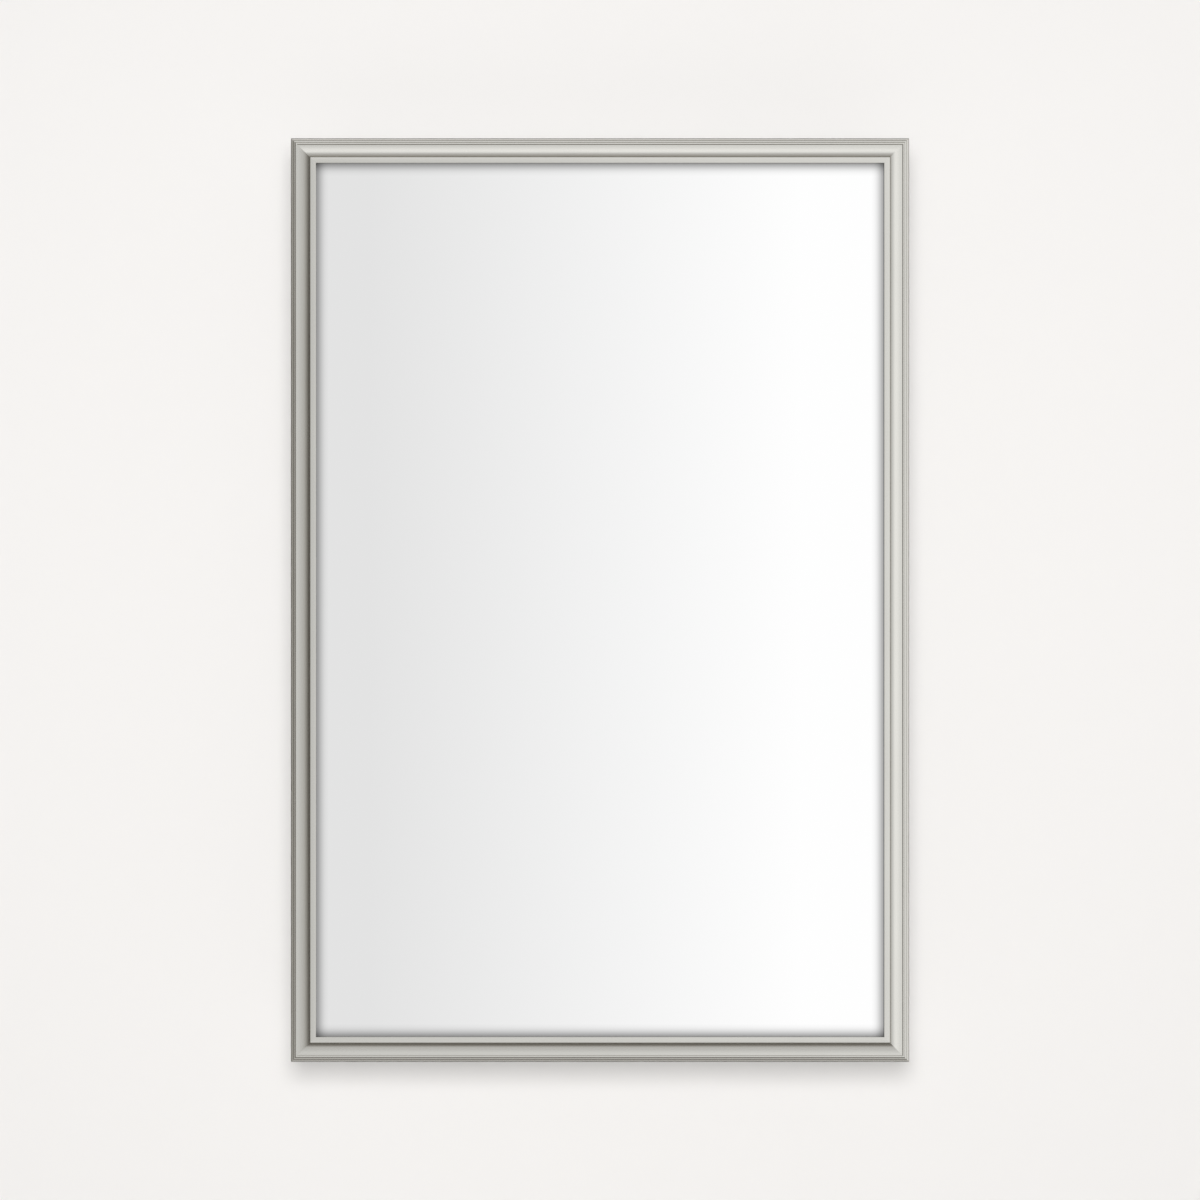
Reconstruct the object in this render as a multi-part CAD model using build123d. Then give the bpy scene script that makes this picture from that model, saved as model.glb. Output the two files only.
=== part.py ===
from build123d import *
from math import radians, tan
import os

# Wall-hung medicine cabinet: a sheet-metal box with glass shelves, closed by one framed mirror door.
# Millimetres. +X to the right, the door faces -Y, +Z up. The origin is the middle of the back face.
# Door sections are drawn in (u, d): u runs inward from the door's outer edge, d forward from the
# door's back plane.

# ---------------------------------------------------------------- driving dimensions: whole cabinet
DOOR_WIDTH = 510.0
DOOR_HEIGHT = 762.0
TOTAL_DEPTH = 117.5
DOOR_DEPTH = 24.0
HINGE_GAP = 4.6
OVERHANG = 18.0

# ---------------------------------------------------------------- driving dimensions: sheet-metal box
SHEET = 1.5
FLANGE = 15.0
BEND_OUTER = 2.0
BEND_INNER = 0.5
CORNER_GAP = 0.3
TAB_HEIGHT = 12.0
TAB_INSET = 15.0
TAB_RIVET_SPACING = 30.0
RIVET_RADIUS = 1.6
RIVET_HEAD_RADIUS = 3.0
RIVET_HEAD_HEIGHT = 1.0
HEAD_ROUND = 0.8
RIVET_TAIL_RADIUS = 2.4
RIVET_TAIL_HEIGHT = 1.6
HOLE_CLEARANCE = 0.05
BACK_PANEL_INSET = 0.5
BACK_SIDE_RIVETS = 4
BACK_SIDE_RIVET_INSET = 53.0
BACK_END_RIVETS = 2
BACK_END_RIVET_INSET = 127.0
WALL_HOLE_RADIUS = 3.5
WALL_HOLE_INSET_X = 77.0
WALL_HOLE_INSET_Z = 31.0

# ---------------------------------------------------------------- driving dimensions: inside the box
BACK_MIRROR_SIDE_GAP = 3.0
BACK_MIRROR_END_GAP = 28.0
BACK_MIRROR_THICKNESS = 3.0
TAPE_WIDTH = 20.0
TAPE_THICKNESS = 1.0
TAPES = 3
TAPE_INSET = 59.0
RAIL_WIDTH = 14.0
RAIL_THICKNESS = 6.0
RAIL_END_GAP = 33.0
RAIL_FROM_BACK = 25.0
RAIL_FROM_FRONT = 30.9
RAIL_HOLE_SPACING = 32.0
RAIL_HOLES_EACH_WAY = 9
PEG_RADIUS = 2.5
PEG_LENGTH = 4.5
PEG_COLLAR_RADIUS = 4.5
PEG_COLLAR = 1.2
SUPPORT_LENGTH = 9.0
SUPPORT_WIDTH = 8.0
SUPPORT_THICKNESS = 2.0
PAD_THICKNESS = 0.8
SHELF_THICKNESS = 5.0
SHELF_SIDE_GAP = 2.0
SHELF_FRONT_GAP = 6.9
SHELF_REAR_GAP = 3.0
SHELF_CORNER = 3.0
SHELF_NAMES = ("low", "middle", "high")
SHELF_HOLES_APART = 5
BUMPER_RADIUS = 4.5
BUMPER_CLEARANCE = 0.3

# ---------------------------------------------------------------- driving dimensions: hinge
LEAF_WIDTH = 17.0
LEAF_THICKNESS = 1.0
KNUCKLES = 27
HINGE_END_GAP = 20.1
KNUCKLE_GAP = 0.3
KNUCKLE_RADIUS = 2.0
KNUCKLE_RELIEF = 2.4
PIN_OUTBOARD = 4.0
PIN_RADIUS = 1.0
PIN_CLEARANCE = 0.05
PIN_HEAD_RADIUS = 1.6
PIN_HEAD = 1.0
LEAF_FIXING_X = 11.5
LEAF_FIXINGS = 9
LEAF_FIXING_FROM_END = 22.9
LEAF_RIVET_RADIUS = 1.5
LEAF_HEAD_RADIUS = 2.6
LEAF_HEAD = 0.9
LEAF_SCREW_RADIUS = 1.4
LEAF_SCREW_LENGTH = 9.0

# ---------------------------------------------------------------- driving dimensions: touch latch
LATCH_FROM_SIDE = 22.5
LATCH_Z = -48.0
LATCH_SIDE = 16.0
LATCH_LENGTH = 40.8
LATCH_WALL = 4.0
LATCH_FRONT_GAP = 0.6
LATCH_ARM_LENGTH = 18.8
LATCH_BASE_LENGTH = 19.8
LATCH_BASE_HALF_HEIGHT = 20.0
LATCH_BASE_THICKNESS = 1.5
LATCH_SCREW_Z = 14.0
PLUNGER_RADIUS = 4.0
PLUNGER_LENGTH = 31.0
PLUNGER_TRAVEL = 3.0
MAGNET_RADIUS = 3.1
MAGNET_LENGTH = 2.7
MAGNET_PROUD = 1.2
STRIKE_GAP = 0.3
SPRING_WIRE = 0.6
SPRING_RADIUS = 2.9
SPRING_TURNS = 4
STRIKE_WIDTH = 16.0
STRIKE_HEIGHT = 34.0
STRIKE_THICKNESS = 1.0
STRIKE_SCREW_Z = 11.0

# ---------------------------------------------------------------- driving dimensions: door
FRAME_WIDTH = 20.9
FRAME_WALL = 1.6
SKIRT_BELOW_FRONT = 7.0
REEDS = 3
REED_WIDTH = 1.62
REED_ROUND = 1.05
TREAD_TILT = 13.0
CREST_FALL = 27.0
CREST_FALL_WIDTH = 0.82
BEAD_WIDTH = 5.03
BEAD_OUTER_ROUND = 0.65
BEAD_INNER_ROUND = 0.5
WEB_LOW = 8.0
WEB_HIGH = 9.4
LIP_BELOW_FRONT = 6.0
LIP_WIDTH = 5.4
TUBE_WALL = 1.4
TUBE_CEILING_BELOW_FRONT = 5.6
TUBE_SHOULDER_WIDTH = 4.0
TUBE_SHOULDER_DROP = 2.2
GASKET_THICKNESS = 0.5
GASKET_WIDTH = 4.3
MIRROR_THICKNESS = 4.0
MIRROR_EDGE_GAP = 0.4
MIRROR_TAPES = 5
MIRROR_TAPE_THICKNESS = 1.0
MIRROR_TAPE_SIDE_INSET = 65.0
MIRROR_TAPE_END_INSET = 36.0
BOARD_GAP = 0.6
BOARD_FLANGE_GAP = 0.4
KEY_GAP = 0.3
KEY_HEIGHT = 6.5
KEY_LEG = 42.0
KEY_SCREW_FROM_CORNER = 29.0
KEY_SCREW_RADIUS = 1.95
KEY_SCREW_LENGTH = 5.4
SOCKET_RADIUS = 1.2
SOCKET_DEPTH = 1.8
BOARD_SCREW_U = 8.0
BOARD_SCREW_RADIUS = 1.75
BOARD_SCREW_HEAD_RADIUS = 3.4
BOARD_SCREW_HEAD = 1.9
BOARD_SCREW_LENGTH = 11.5
STILE_SCREWS = 4
STILE_SCREW_INSET = 96.0
RAIL_SCREWS = 2
RAIL_SCREW_INSET = 135.0
INNER_MIRROR_MARGIN = 56.0
INNER_MIRROR_THICKNESS = 3.0
INNER_TAPE_THICKNESS = 0.5
POCKET_GAP = 0.5

# ---------------------------------------------------------------- worked-out dimensions
BODY_HALF_WIDTH = DOOR_WIDTH / 2 - OVERHANG
BODY_HALF_HEIGHT = DOOR_HEIGHT / 2 - OVERHANG
BODY_FRONT_Y = -(TOTAL_DEPTH - DOOR_DEPTH - HINGE_GAP)
DOOR_BACK_Y = BODY_FRONT_Y - HINGE_GAP
INSIDE_HALF_WIDTH = BODY_HALF_WIDTH - SHEET
FLANGE_REAR_Y = -SHEET
BACK_MIRROR_HALF_WIDTH = BODY_HALF_WIDTH - FLANGE - BACK_MIRROR_SIDE_GAP
BACK_MIRROR_HALF_HEIGHT = BODY_HALF_HEIGHT - FLANGE - BACK_MIRROR_END_GAP
BACK_MIRROR_REAR_Y = FLANGE_REAR_Y - TAPE_THICKNESS
RAIL_FACE_X = INSIDE_HALF_WIDTH - RAIL_THICKNESS
RAIL_HALF_LENGTH = BODY_HALF_HEIGHT - RAIL_END_GAP
RAIL_Y = (-RAIL_FROM_BACK, BODY_FRONT_Y + RAIL_FROM_FRONT)
SHELF_FRONT_Y = BODY_FRONT_Y + SHELF_FRONT_GAP
SHELF_REAR_Y = BACK_MIRROR_REAR_Y - BACK_MIRROR_THICKNESS - SHELF_REAR_GAP
PIN_X = -(BODY_HALF_WIDTH + PIN_OUTBOARD)
PIN_Y = BODY_FRONT_Y - HINGE_GAP / 2
HINGE_HALF_LENGTH = BODY_HALF_HEIGHT - HINGE_END_GAP
KNUCKLE_PITCH = 2 * HINGE_HALF_LENGTH / KNUCKLES
LATCH_X = INSIDE_HALF_WIDTH - LATCH_FROM_SIDE
LATCH_FRONT_Y = BODY_FRONT_Y + SHEET + LATCH_FRONT_GAP
LATCH_REAR_Y = LATCH_FRONT_Y + LATCH_LENGTH
LATCH_ARM_REAR_Y = LATCH_FRONT_Y + LATCH_ARM_LENGTH
LATCH_BASE_REAR_Y = LATCH_FRONT_Y + LATCH_BASE_LENGTH
LATCH_BASE_X = INSIDE_HALF_WIDTH - LATCH_BASE_THICKNESS
MAGNET_FRONT_Y = DOOR_BACK_Y + STRIKE_THICKNESS + STRIKE_GAP
PLUNGER_FRONT_Y = MAGNET_FRONT_Y + MAGNET_PROUD
PLUNGER_REAR_Y = PLUNGER_FRONT_Y + PLUNGER_LENGTH
LATCH_BORE_END_Y = LATCH_REAR_Y - LATCH_WALL
SKIRT_HEIGHT = DOOR_DEPTH - SKIRT_BELOW_FRONT
COVE_START_U = REEDS * REED_WIDTH + CREST_FALL_WIDTH
COVE_END = (FRAME_WIDTH - BEAD_WIDTH, DOOR_DEPTH - BEAD_OUTER_ROUND)
LIP = DOOR_DEPTH - LIP_BELOW_FRONT
REBATE_WALL = FRAME_WIDTH - LIP_WIDTH
TUBE_INNER = REBATE_WALL - TUBE_WALL
TUBE_CEILING = DOOR_DEPTH - TUBE_CEILING_BELOW_FRONT
MIRROR_FRONT = LIP - GASKET_THICKNESS
MIRROR_BACK = MIRROR_FRONT - MIRROR_THICKNESS
MIRROR_EDGE = REBATE_WALL + MIRROR_EDGE_GAP
BOARD_THICKNESS = MIRROR_BACK - MIRROR_TAPE_THICKNESS
BOARD_FLANGE = WEB_LOW - BOARD_FLANGE_GAP
BOARD_FLANGE_EDGE = FRAME_WALL + BOARD_GAP
BOARD_CORE_EDGE = REBATE_WALL + BOARD_GAP
KEY_EDGE = FRAME_WALL + KEY_GAP
KEY_WIDTH = TUBE_INNER - KEY_GAP - KEY_EDGE
INNER_MIRROR_HALF_WIDTH = DOOR_WIDTH / 2 - INNER_MIRROR_MARGIN
INNER_MIRROR_HALF_HEIGHT = DOOR_HEIGHT / 2 - INNER_MIRROR_MARGIN
POCKET_DEPTH = INNER_MIRROR_THICKNESS + INNER_TAPE_THICKNESS


# ---------------------------------------------------------------- shared shapes
def block(x_range, y_range, z_range):
    """A box from three (low, high) ranges."""
    size = [high - low for low, high in (x_range, y_range, z_range)]
    centre = [(high + low) / 2 for low, high in (x_range, y_range, z_range)]
    return Pos(*centre) * Box(*size)


def rod(start, axis, radius, length):
    """A cylinder from start along axis."""
    return Plane(origin=start, z_dir=axis) * Cylinder(
        radius, length, align=(Align.CENTER, Align.CENTER, Align.MIN)
    )


def taper(start, axis, start_radius, end_radius, length):
    """A cone frustum from start along axis."""
    return Plane(origin=start, z_dir=axis) * Cone(
        start_radius, end_radius, length, align=(Align.CENTER, Align.CENTER, Align.MIN)
    )


def dome_head(start, axis, radius, height):
    """A low head that stands on its seat at start, rounded at the top."""
    head = rod(start, axis, radius, height)
    return fillet(head.edges().sort_by(Axis(start, axis))[-1], HEAD_ROUND * height)


def channel_face(web, flange):
    """A bent-sheet channel section: web along Y, flanges towards +X, bends rounded."""
    outer = Rectangle(flange, web, align=(Align.MIN, Align.CENTER))
    outer = fillet(outer.vertices().group_by(Axis.X)[0], BEND_OUTER)
    hollow = Rectangle(flange, web - 2 * SHEET, align=(Align.MIN, Align.CENTER))
    hollow = fillet(hollow.vertices().group_by(Axis.X)[0], BEND_INNER)
    return outer - Pos(SHEET, 0) * hollow


def grid(x_values, z_values):
    """Every pair of the two lists."""
    return [(x, z) for x in x_values for z in z_values]


def spread(count, reach):
    """Evenly spaced places from -reach to reach."""
    return [reach * (2 * index / (count - 1) - 1) for index in range(count)]


def upright_strips(half_width, half_height, y_range, count, inset):
    """Upright tape strips behind a panel: the outer ones inset from its sides, all from its ends."""
    strips = []
    for x in spread(count, half_width - inset - TAPE_WIDTH / 2):
        x_range = (x - TAPE_WIDTH / 2, x + TAPE_WIDTH / 2)
        strips.append(block(x_range, y_range, (-half_height, half_height)))
    return strips


# ---------------------------------------------------------------- sheet-metal box
def tab_rivet_ys():
    middle = (BODY_FRONT_Y + FLANGE_REAR_Y) / 2
    return [middle - TAB_RIVET_SPACING / 2, middle + TAB_RIVET_SPACING / 2]


def tab_rivet_z():
    return BODY_HALF_HEIGHT - SHEET - TAB_HEIGHT / 2


def side_panel(side):
    """Bent channel, side -1 on the left and +1 on the right, with its rivet and latch holes."""
    web = FLANGE_REAR_Y - BODY_FRONT_Y
    middle_y = (FLANGE_REAR_Y + BODY_FRONT_Y) / 2
    panel = extrude(channel_face(web, FLANGE), BODY_HALF_HEIGHT, both=True)
    if side > 0:
        panel = mirror(panel, Plane.YZ)
    panel = Pos(side * BODY_HALF_WIDTH, middle_y, 0) * panel
    outside = side * BODY_HALF_WIDTH
    for z_side in (-1, 1):
        for y in tab_rivet_ys():
            start = (outside, y, z_side * tab_rivet_z())
            panel -= rod(start, (-side, 0, 0), RIVET_RADIUS + HOLE_CLEARANCE, SHEET)
    for z in back_side_rivet_zs():
        panel -= back_rivet_hole(side * (BODY_HALF_WIDTH - FLANGE / 2), z)
    if side > 0:
        for z in latch_screw_zs():
            start = (LATCH_BASE_X, latch_screw_y(), z)
            panel -= rod(start, (1, 0, 0), RIVET_RADIUS + HOLE_CLEARANCE, 2 * SHEET)
    else:
        for z in leaf_fixing_zs():
            start = (PIN_X + LEAF_FIXING_X, BODY_FRONT_Y, z)
            panel -= rod(start, (0, 1, 0), LEAF_RIVET_RADIUS + HOLE_CLEARANCE, SHEET)
    return panel


def end_panel(side):
    """Top (+1) or bottom (-1) channel, with end plates and tabs that are riveted to the sides."""
    web = FLANGE_REAR_Y - BODY_FRONT_Y
    middle_y = (FLANGE_REAR_Y + BODY_FRONT_Y) / 2
    half_length = BODY_HALF_WIDTH - FLANGE - CORNER_GAP
    section = Plane(origin=(0, middle_y, BODY_HALF_HEIGHT), x_dir=(0, 0, -1), z_dir=(1, 0, 0))
    panel = extrude(section * channel_face(web, FLANGE), half_length, both=True)
    plate_y = (BODY_FRONT_Y + SHEET + CORNER_GAP, FLANGE_REAR_Y - SHEET - CORNER_GAP)
    plate_z = (BODY_HALF_HEIGHT - SHEET, BODY_HALF_HEIGHT)
    panel += block((-INSIDE_HALF_WIDTH, INSIDE_HALF_WIDTH), plate_y, plate_z)
    tab_y = (plate_y[0] + TAB_INSET, plate_y[1] - TAB_INSET)
    tab_z = (plate_z[0] - TAB_HEIGHT, plate_z[0])
    for x_side in (-1, 1):
        tab_x = sorted((x_side * INSIDE_HALF_WIDTH, x_side * (INSIDE_HALF_WIDTH - SHEET)))
        panel += block(tab_x, tab_y, tab_z)
        for y in tab_rivet_ys():
            start = (x_side * INSIDE_HALF_WIDTH, y, tab_rivet_z())
            panel -= rod(start, (-x_side, 0, 0), RIVET_RADIUS + HOLE_CLEARANCE, SHEET)
    for x in back_end_rivet_xs():
        panel -= back_rivet_hole(x, BODY_HALF_HEIGHT - FLANGE / 2)
    if side < 0:
        panel = mirror(panel, Plane.XY)
    return panel


def panel_rivets():
    """Blind rivets that hold the side panels to the end tabs."""
    rivets = []
    for x_side in (-1, 1):
        inward = (-x_side, 0, 0)
        for z_side in (-1, 1):
            for y in tab_rivet_ys():
                z = z_side * tab_rivet_z()
                outside = (x_side * BODY_HALF_WIDTH, y, z)
                inside = (x_side * (INSIDE_HALF_WIDTH - SHEET), y, z)
                rivet = dome_head(outside, (x_side, 0, 0), RIVET_HEAD_RADIUS, RIVET_HEAD_HEIGHT)
                rivet += rod(outside, inward, RIVET_RADIUS, 2 * SHEET)
                rivet += rod(inside, inward, RIVET_TAIL_RADIUS, RIVET_TAIL_HEIGHT)
                rivets.append(rivet)
    return rivets


def back_side_rivet_zs():
    return spread(BACK_SIDE_RIVETS, BODY_HALF_HEIGHT - BACK_SIDE_RIVET_INSET)


def back_end_rivet_xs():
    return spread(BACK_END_RIVETS, BODY_HALF_WIDTH - BACK_END_RIVET_INSET)


def back_rivet_spots():
    side_x = BODY_HALF_WIDTH - FLANGE / 2
    end_z = BODY_HALF_HEIGHT - FLANGE / 2
    side_spots = grid((-side_x, side_x), back_side_rivet_zs())
    return side_spots + grid(back_end_rivet_xs(), (-end_z, end_z))


def back_rivet_hole(x, z):
    return rod((x, 0, z), (0, -1, 0), RIVET_RADIUS + HOLE_CLEARANCE, 2 * SHEET)


def back_rivet_head(x, z):
    """The flush countersunk head, level with the back face."""
    return taper((x, 0, z), (0, -1, 0), RIVET_HEAD_RADIUS, RIVET_RADIUS, SHEET)


def back_rivets():
    """Flush rivets: countersunk head level with the back face, tail inside the cabinet."""
    rivets = []
    for x, z in back_rivet_spots():
        rivet = back_rivet_head(x, z) + rod((x, 0, z), (0, -1, 0), RIVET_RADIUS, 2 * SHEET)
        rivet += rod((x, -2 * SHEET, z), (0, -1, 0), RIVET_TAIL_RADIUS, RIVET_TAIL_HEIGHT)
        rivets.append(rivet)
    return rivets


def wall_hole_spots():
    half_x = BODY_HALF_WIDTH - WALL_HOLE_INSET_X
    half_z = BODY_HALF_HEIGHT - WALL_HOLE_INSET_Z
    return grid((-half_x, half_x), (-half_z, half_z))


def back_panel():
    """Flat sheet that closes the back and lies against the wall."""
    half_width = BODY_HALF_WIDTH - BACK_PANEL_INSET
    half_height = BODY_HALF_HEIGHT - BACK_PANEL_INSET
    panel = block((-half_width, half_width), (-SHEET, 0), (-half_height, half_height))
    for x, z in back_rivet_spots():
        panel -= back_rivet_hole(x, z) + back_rivet_head(x, z)
    for x, z in wall_hole_spots():
        panel -= rod((x, 0, z), (0, -1, 0), WALL_HOLE_RADIUS, SHEET)
    return panel


# ---------------------------------------------------------------- inside the box
def back_mirror():
    x_range = (-BACK_MIRROR_HALF_WIDTH, BACK_MIRROR_HALF_WIDTH)
    y_range = (BACK_MIRROR_REAR_Y - BACK_MIRROR_THICKNESS, BACK_MIRROR_REAR_Y)
    return block(x_range, y_range, (-BACK_MIRROR_HALF_HEIGHT, BACK_MIRROR_HALF_HEIGHT))


def back_mirror_tape():
    """Upright strips of double-sided foam tape behind the mirror."""
    half_height = BACK_MIRROR_HALF_HEIGHT - TAPE_WIDTH
    y_range = (BACK_MIRROR_REAR_Y, FLANGE_REAR_Y)
    return upright_strips(BACK_MIRROR_HALF_WIDTH, half_height, y_range, TAPES, TAPE_INSET)


def shelf_rails(side):
    """Two upright rails on one side, drilled at the shelf pitch."""
    rails = []
    for y in RAIL_Y:
        x_range = sorted((side * RAIL_FACE_X, side * INSIDE_HALF_WIDTH))
        y_range = (y - RAIL_WIDTH / 2, y + RAIL_WIDTH / 2)
        rail = block(x_range, y_range, (-RAIL_HALF_LENGTH, RAIL_HALF_LENGTH))
        for step in range(-RAIL_HOLES_EACH_WAY, RAIL_HOLES_EACH_WAY + 1):
            start = (side * RAIL_FACE_X, y, step * RAIL_HOLE_SPACING)
            rail -= rod(start, (side, 0, 0), PEG_RADIUS + HOLE_CLEARANCE, PEG_LENGTH)
        rails.append(rail)
    return rails


def shelf_steps():
    """The rail hole, counted from the middle one, that each shelf hangs on."""
    middle = len(SHELF_NAMES) // 2
    return {name: (i - middle) * SHELF_HOLES_APART for i, name in enumerate(SHELF_NAMES)}


def support_spots(step):
    """Side, depth and height of the four pegs under one shelf."""
    return [(side, y, step * RAIL_HOLE_SPACING) for side in (-1, 1) for y in RAIL_Y]


def shelf_supports(step):
    """Four pegs, each with a collar and a flat tongue that carries the glass."""
    supports = []
    for side, y, z in support_spots(step):
        inward = (-side, 0, 0)
        face = (side * RAIL_FACE_X, y, z)
        support = rod(face, (side, 0, 0), PEG_RADIUS, PEG_LENGTH)
        support += rod(face, inward, PEG_COLLAR_RADIUS, PEG_COLLAR)
        tongue_x = sorted((side * RAIL_FACE_X, side * (RAIL_FACE_X - PEG_COLLAR - SUPPORT_LENGTH)))
        tongue_y = (y - SUPPORT_WIDTH / 2, y + SUPPORT_WIDTH / 2)
        support += block(tongue_x, tongue_y, (z - SUPPORT_THICKNESS / 2, z + SUPPORT_THICKNESS / 2))
        supports.append(support)
    return supports


def shelf_pads():
    """Clear pads between the tongues and the glass, twelve in all."""
    pads = []
    for step in shelf_steps().values():
        for side, y, z in support_spots(step):
            inner = RAIL_FACE_X - PEG_COLLAR
            x_range = sorted((side * inner, side * (inner - SUPPORT_LENGTH)))
            y_range = (y - SUPPORT_WIDTH / 2, y + SUPPORT_WIDTH / 2)
            base = z + SUPPORT_THICKNESS / 2
            pads.append(block(x_range, y_range, (base, base + PAD_THICKNESS)))
    return pads


def shelf(step):
    """Glass plate that rests on four pads."""
    half_width = RAIL_FACE_X - SHELF_SIDE_GAP
    base = step * RAIL_HOLE_SPACING + SUPPORT_THICKNESS / 2 + PAD_THICKNESS
    y_range = (SHELF_FRONT_Y, SHELF_REAR_Y)
    plate = block((-half_width, half_width), y_range, (base, base + SHELF_THICKNESS))
    return fillet(plate.edges().filter_by(Axis.Z), SHELF_CORNER)


def bumper_spots():
    side_x = BODY_HALF_WIDTH - FLANGE / 2
    end_z = BODY_HALF_HEIGHT - FLANGE / 2
    return [(side_x, -end_z), (side_x, end_z), (0.0, -end_z), (0.0, end_z)]


def door_bumpers():
    """Soft round stops on the front flanges."""
    length = HINGE_GAP - BUMPER_CLEARANCE
    bumpers = []
    for x, z in bumper_spots():
        bumper = rod((x, BODY_FRONT_Y, z), (0, -1, 0), BUMPER_RADIUS, length)
        bumpers.append(fillet(bumper.edges().sort_by(Axis.Y)[0], 1.0))
    return bumpers


# ---------------------------------------------------------------- hinge
def leaf_fixing_zs():
    return spread(LEAF_FIXINGS, HINGE_HALF_LENGTH - LEAF_FIXING_FROM_END)


def hinge_leaf(seat_y, towards_pin, first_knuckle):
    """One leaf: a flat strip on seat_y with every second knuckle rolled round the pin."""
    y_range = sorted((seat_y, seat_y + towards_pin * LEAF_THICKNESS))
    strip_x = (PIN_X + KNUCKLE_RELIEF, PIN_X + LEAF_WIDTH)
    leaf = block(strip_x, y_range, (-HINGE_HALF_LENGTH, HINGE_HALF_LENGTH))
    knuckles = []
    length = KNUCKLE_PITCH - KNUCKLE_GAP
    for index in range(first_knuckle, KNUCKLES, 2):
        low = -HINGE_HALF_LENGTH + index * KNUCKLE_PITCH + KNUCKLE_GAP / 2
        roll = rod((PIN_X, PIN_Y, low), (0, 0, 1), KNUCKLE_RADIUS, length)
        roll += block((PIN_X, PIN_X + KNUCKLE_RELIEF), y_range, (low, low + length))
        knuckles.append(roll)
    leaf = leaf + knuckles
    bore_start = (PIN_X, PIN_Y, -HINGE_HALF_LENGTH)
    leaf -= rod(bore_start, (0, 0, 1), PIN_RADIUS + PIN_CLEARANCE, 2 * HINGE_HALF_LENGTH)
    return leaf


def hinge_leaf_body():
    leaf = hinge_leaf(BODY_FRONT_Y, -1, 0)
    for z in leaf_fixing_zs():
        start = (PIN_X + LEAF_FIXING_X, BODY_FRONT_Y, z)
        leaf -= rod(start, (0, -1, 0), LEAF_RIVET_RADIUS + HOLE_CLEARANCE, LEAF_THICKNESS)
    return leaf


def hinge_leaf_door():
    leaf = hinge_leaf(DOOR_BACK_Y, 1, 1)
    for z in leaf_fixing_zs():
        start = (PIN_X + LEAF_FIXING_X, DOOR_BACK_Y, z)
        leaf -= rod(start, (0, 1, 0), LEAF_SCREW_RADIUS + HOLE_CLEARANCE, LEAF_THICKNESS)
    return leaf


def hinge_pin():
    """Full-length pin with a peened head at each end."""
    seat = HINGE_HALF_LENGTH - KNUCKLE_GAP / 2
    pin = rod((PIN_X, PIN_Y, -seat), (0, 0, 1), PIN_RADIUS, 2 * seat)
    pin += rod((PIN_X, PIN_Y, seat), (0, 0, 1), PIN_HEAD_RADIUS, PIN_HEAD)
    pin += rod((PIN_X, PIN_Y, -seat), (0, 0, -1), PIN_HEAD_RADIUS, PIN_HEAD)
    return pin


def hinge_rivets():
    """Rivets that hold the body leaf to the left front flange."""
    rivets = []
    for z in leaf_fixing_zs():
        x = PIN_X + LEAF_FIXING_X
        front = (x, BODY_FRONT_Y - LEAF_THICKNESS, z)
        inside = (x, BODY_FRONT_Y + SHEET, z)
        rivet = dome_head(front, (0, -1, 0), LEAF_HEAD_RADIUS, LEAF_HEAD)
        rivet += rod(front, (0, 1, 0), LEAF_RIVET_RADIUS, LEAF_THICKNESS + SHEET)
        rivet += rod(inside, (0, 1, 0), RIVET_TAIL_RADIUS, RIVET_TAIL_HEIGHT)
        rivets.append(rivet)
    return rivets


def hinge_screws():
    """Screws that hold the door leaf to the door board."""
    screws = []
    for z in leaf_fixing_zs():
        seat = (PIN_X + LEAF_FIXING_X, DOOR_BACK_Y + LEAF_THICKNESS, z)
        screw = dome_head(seat, (0, 1, 0), LEAF_HEAD_RADIUS, LEAF_HEAD)
        screw += rod(seat, (0, -1, 0), LEAF_SCREW_RADIUS, LEAF_THICKNESS + LEAF_SCREW_LENGTH)
        screws.append(screw)
    return screws


# ---------------------------------------------------------------- touch latch
def latch_screw_y():
    return (LATCH_FRONT_Y + LATCH_BASE_REAR_Y) / 2


def latch_screw_zs():
    return [LATCH_Z - LATCH_SCREW_Z, LATCH_Z + LATCH_SCREW_Z]


def latch_housing():
    """Plastic body: bored block, arm and screwed base plate in one moulding."""
    half = LATCH_SIDE / 2
    z_range = (LATCH_Z - half, LATCH_Z + half)
    body = block((LATCH_X - half, LATCH_X + half), (LATCH_FRONT_Y, LATCH_REAR_Y), z_range)
    body = fillet(body.edges().filter_by(Axis.Y), 2.0)
    body += block((LATCH_X + half - 2.0, LATCH_BASE_X), (LATCH_FRONT_Y, LATCH_ARM_REAR_Y), z_range)
    base_z = (LATCH_Z - LATCH_BASE_HALF_HEIGHT, LATCH_Z + LATCH_BASE_HALF_HEIGHT)
    base_y = (LATCH_FRONT_Y, LATCH_BASE_REAR_Y)
    body += block((LATCH_BASE_X, INSIDE_HALF_WIDTH), base_y, base_z)
    for z in latch_screw_zs():
        start = (LATCH_BASE_X, latch_screw_y(), z)
        body -= rod(start, (1, 0, 0), RIVET_RADIUS + HOLE_CLEARANCE, LATCH_BASE_THICKNESS)
    bore_length = LATCH_BORE_END_Y - LATCH_FRONT_Y
    bore_start = (LATCH_X, LATCH_FRONT_Y, LATCH_Z)
    return body - rod(bore_start, (0, 1, 0), PLUNGER_RADIUS + HOLE_CLEARANCE, bore_length)


def latch_plunger():
    """Sliding plunger with a pocket for the magnet in its front end."""
    front = (LATCH_X, PLUNGER_FRONT_Y, LATCH_Z)
    plunger = rod(front, (0, 1, 0), PLUNGER_RADIUS, PLUNGER_LENGTH)
    pocket = rod(front, (0, 1, 0), MAGNET_RADIUS + HOLE_CLEARANCE, MAGNET_LENGTH - MAGNET_PROUD)
    return plunger - pocket


def latch_magnet():
    magnet = rod((LATCH_X, MAGNET_FRONT_Y, LATCH_Z), (0, 1, 0), MAGNET_RADIUS, MAGNET_LENGTH)
    return fillet(magnet.edges().sort_by(Axis.Y)[0], 0.4)


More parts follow.
